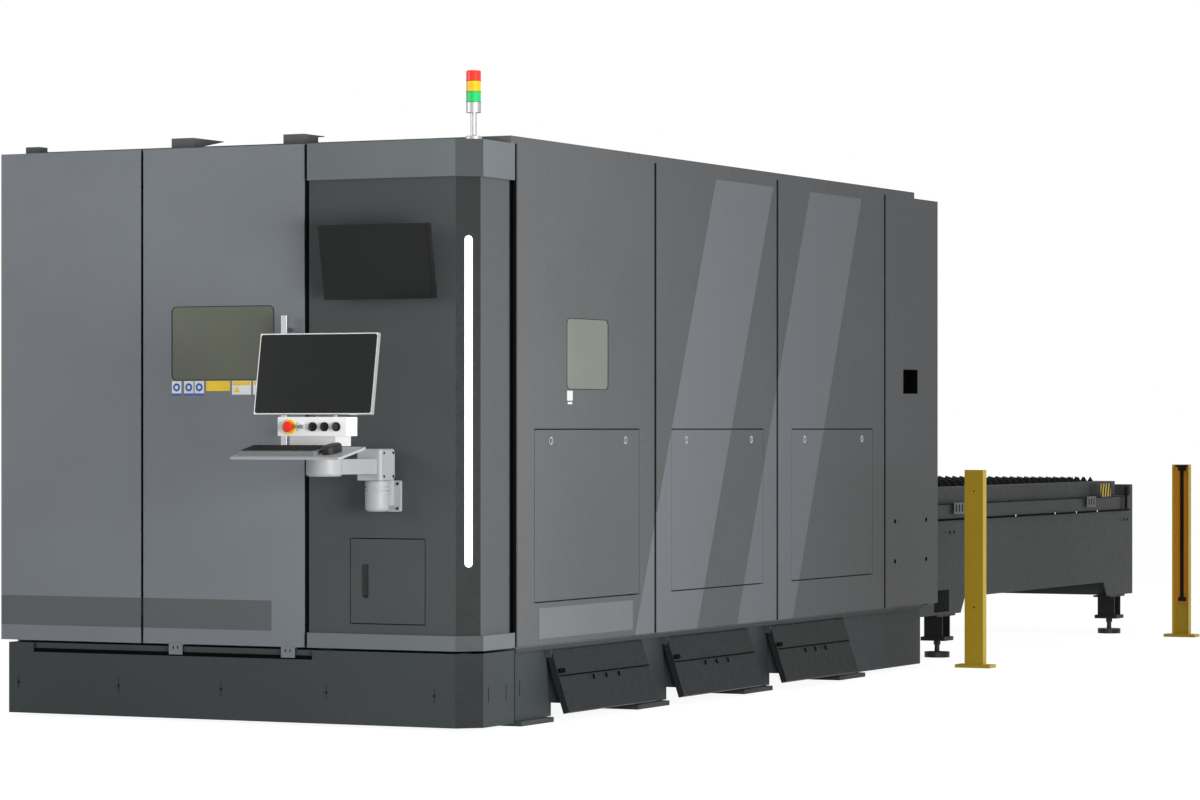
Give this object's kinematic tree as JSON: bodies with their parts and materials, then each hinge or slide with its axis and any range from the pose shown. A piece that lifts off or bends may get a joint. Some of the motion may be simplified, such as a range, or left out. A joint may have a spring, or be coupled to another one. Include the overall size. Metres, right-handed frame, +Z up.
{
  "type": "fiber laser cutting machine",
  "caption": "Enclosed fiber laser cutting machine with a sliding front door, swinging operator console, slag flaps, pallet exchange table and light curtain posts.",
  "frame": {"origin": "floor level under the centre of the whole machine's bounding box", "axes": "+Z up, +Y along the machine from the operator's end to the exchange table, +X towards the long side with the service hatches and light curtain posts"},
  "size_m": [2.513, 9.34, 2.564],
  "materials": {
    "base_dark": "satin powder coat",
    "bed_grey": "satin paint",
    "panel_grey": "textured powder coat",
    "door_grey": "textured powder coat",
    "header_grey": "textured powder coat",
    "console_dark": "textured powder coat",
    "window_green": "tinted laser-safe pane",
    "bright_steel": "brushed",
    "strip_white": "diffusing lens",
    "light_metal": "satin",
    "lens_green": "clear tinted",
    "lens_amber": "clear tinted",
    "lens_red": "clear tinted",
    "arm_white": "powder coat",
    "screen_black": "matte",
    "stop_red": "gloss",
    "button_green": "gloss",
    "table_dark": "satin paint",
    "foot_steel": "zinc",
    "flap_dark": "textured powder coat",
    "pallet_steel": "plain mild steel, a little heat marked",
    "post_yellow": "satin paint",
    "bar_black": "matte"
  },
  "bodies": {
    "machine": {"front_plinth": "base_dark", "right_base": "base_dark", "left_base": "base_dark", "rear_base": "base_dark", "machine_bed": "bed_grey", "slag_chutes": "base_dark", "cabin_frame": "bed_grey", "roof_panels": "panel_grey", "side_panel_1": "panel_grey", "side_panel_2": "panel_grey", "side_panel_3": "panel_grey", "side_panel_4": "panel_grey", "side_window": "window_green", "left_wall_panels": "panel_grey", "rear_wall": "panel_grey", "front_left_panel": "door_grey", "door_rails": "base_dark", "console_wrap": "console_dark", "console_bands": "header_grey", "light_strip": "strip_white", "laser_source": "light_metal", "tower_pole": "light_metal", "tower_lens_green": "lens_green", "tower_lens_amber": "lens_amber", "tower_lens_red": "lens_red", "wall_screen_bracket": "screen_black", "arm_wall_bracket": "arm_white", "table_frame": "table_dark", "levelling_feet": "foot_steel", "curtain_posts": "post_yellow", "curtain_bars": "bar_black"},
    "door": {"door_leaf": "door_grey", "door_window": "window_green", "door_handle": "bright_steel"},
    "arm": {"arm_link": "arm_white"},
    "operator_head": {"arm_head": "arm_white", "control_box": "arm_white", "keyboard_tray": "arm_white", "keyboard": "screen_black", "mouse": "screen_black"},
    "operator_screen": {"operator_screen": "light_metal"},
    "wall_screen": {"wall_screen": "screen_black"},
    "emergency_stop": {"emergency_stop": "stop_red"},
    "key_switch": {"key_switch": "bright_steel"},
    "selector_knob_left": {"selector_knob_left": "screen_black"},
    "selector_knob_right": {"selector_knob_right": "screen_black"},
    "push_button": {"push_button": "button_green"},
    "compartment_door": {"compartment_door": "console_dark"},
    "compartment_handle": {"compartment_handle": "screen_black"},
    "service_hatch_1": {"service_hatch_1": "panel_grey"},
    "service_hatch_2": {"service_hatch_2": "panel_grey"},
    "service_hatch_3": {"service_hatch_3": "panel_grey"},
    "slag_flap_1": {"slag_flap_1": "flap_dark"},
    "slag_flap_2": {"slag_flap_2": "flap_dark"},
    "slag_flap_3": {"slag_flap_3": "flap_dark"},
    "upper_pallet": {"upper_pallet": "pallet_steel"},
    "lower_pallet": {"lower_pallet": "pallet_steel"},
    "gantry_beam": {"gantry_beam": "light_metal"},
    "cutting_carriage": {"cutting_carriage": "light_metal"},
    "cutting_head": {"cutting_head": "foot_steel"}
  },
  "joints": [
    {"name": "door_slide", "type": "slide", "parent": "machine", "child": "door", "axis": [-1, 0, 0], "range_m": [0, 0.63]},
    {"name": "arm_swivel", "type": "hinge", "parent": "machine", "child": "arm", "pos_m": [0.5495, -3.96, 0.97], "axis": [0, 0, 1], "range_deg": [-45, 45]},
    {"name": "elbow_swivel", "type": "hinge", "parent": "arm", "child": "operator_head", "pos_m": [0.5495, -4.37, 1.063], "axis": [0, 0, 1], "range_deg": [-45, 45]},
    {"name": "operator_screen_tilt", "type": "hinge", "parent": "operator_head", "child": "operator_screen", "pos_m": [0.5495, -4.38173, 1.37125], "axis": [1, 0, 0], "range_deg": [-15, 5]},
    {"name": "wall_screen_tilt", "type": "hinge", "parent": "machine", "child": "wall_screen", "pos_m": [0.5495, -3.91458, 1.83012], "axis": [1, 0, 0], "range_deg": [-10, 10]},
    {"name": "emergency_stop_press", "type": "slide", "parent": "operator_head", "child": "emergency_stop", "axis": [0, 1, 0], "range_m": [0, 0.005]},
    {"name": "key_turn", "type": "hinge", "parent": "operator_head", "child": "key_switch", "pos_m": [0.5025, -4.462, 1.18], "axis": [0, 1, 0], "range_deg": [0, 90]},
    {"name": "selector_left_turn", "type": "hinge", "parent": "operator_head", "child": "selector_knob_left", "pos_m": [0.5535, -4.462, 1.18], "axis": [0, 1, 0], "range_deg": [-45, 45]},
    {"name": "selector_right_turn", "type": "hinge", "parent": "operator_head", "child": "selector_knob_right", "pos_m": [0.6045, -4.462, 1.18], "axis": [0, 1, 0], "range_deg": [-45, 45]},
    {"name": "push_button_press", "type": "slide", "parent": "operator_head", "child": "push_button", "axis": [0, 1, 0], "range_m": [0, 0.003], "stiffness_N_per_m": 800, "springref_m": -0.003},
    {"name": "compartment_door_hinge", "type": "hinge", "parent": "machine", "child": "compartment_door", "pos_m": [0.7035, -3.8655, 0.576], "axis": [0, 0, 1], "range_deg": [0, 110]},
    {"name": "compartment_handle_lift", "type": "hinge", "parent": "compartment_door", "child": "compartment_handle", "pos_m": [0.4485, -3.8695, 0.523], "axis": [1, 0, 0], "range_deg": [0, 45]},
    {"name": "hatch_1_hinge", "type": "hinge", "parent": "machine", "child": "service_hatch_1", "pos_m": [0.9235, -2.8865, 0.493], "axis": [0, 1, 0], "range_deg": [0, 75]},
    {"name": "hatch_2_hinge", "type": "hinge", "parent": "machine", "child": "service_hatch_2", "pos_m": [0.9235, -1.6005, 0.493], "axis": [0, 1, 0], "range_deg": [0, 75]},
    {"name": "hatch_3_hinge", "type": "hinge", "parent": "machine", "child": "service_hatch_3", "pos_m": [0.9235, -0.3145, 0.493], "axis": [0, 1, 0], "range_deg": [0, 75]},
    {"name": "flap_1_hinge", "type": "hinge", "parent": "machine", "child": "slag_flap_1", "pos_m": [0.9415, -2.83, 0.275], "axis": [0, -1, 0], "range_deg": [0, 60]},
    {"name": "flap_2_hinge", "type": "hinge", "parent": "machine", "child": "slag_flap_2", "pos_m": [0.9415, -1.741, 0.275], "axis": [0, -1, 0], "range_deg": [0, 60]},
    {"name": "flap_3_hinge", "type": "hinge", "parent": "machine", "child": "slag_flap_3", "pos_m": [0.9415, -0.652, 0.275], "axis": [0, -1, 0], "range_deg": [0, 60]},
    {"name": "upper_pallet_travel", "type": "slide", "parent": "machine", "child": "upper_pallet", "axis": [0, -1, 0], "range_m": [0, 3.6]},
    {"name": "lower_pallet_travel", "type": "slide", "parent": "machine", "child": "lower_pallet", "axis": [0, 1, 0], "range_m": [0, 3.6]},
    {"name": "gantry_travel", "type": "slide", "parent": "machine", "child": "gantry_beam", "axis": [0, 1, 0], "range_m": [0, 3.2]},
    {"name": "carriage_travel", "type": "slide", "parent": "gantry_beam", "child": "cutting_carriage", "axis": [1, 0, 0], "range_m": [-0.65, 0.65]},
    {"name": "head_travel", "type": "slide", "parent": "cutting_carriage", "child": "cutting_head", "axis": [0, 0, 1], "range_m": [-0.045, 0.05]}
  ],
  "couplings": [
    {"joint": "lower_pallet_travel", "follows": "upper_pallet_travel", "ratio": 1}
  ]
}
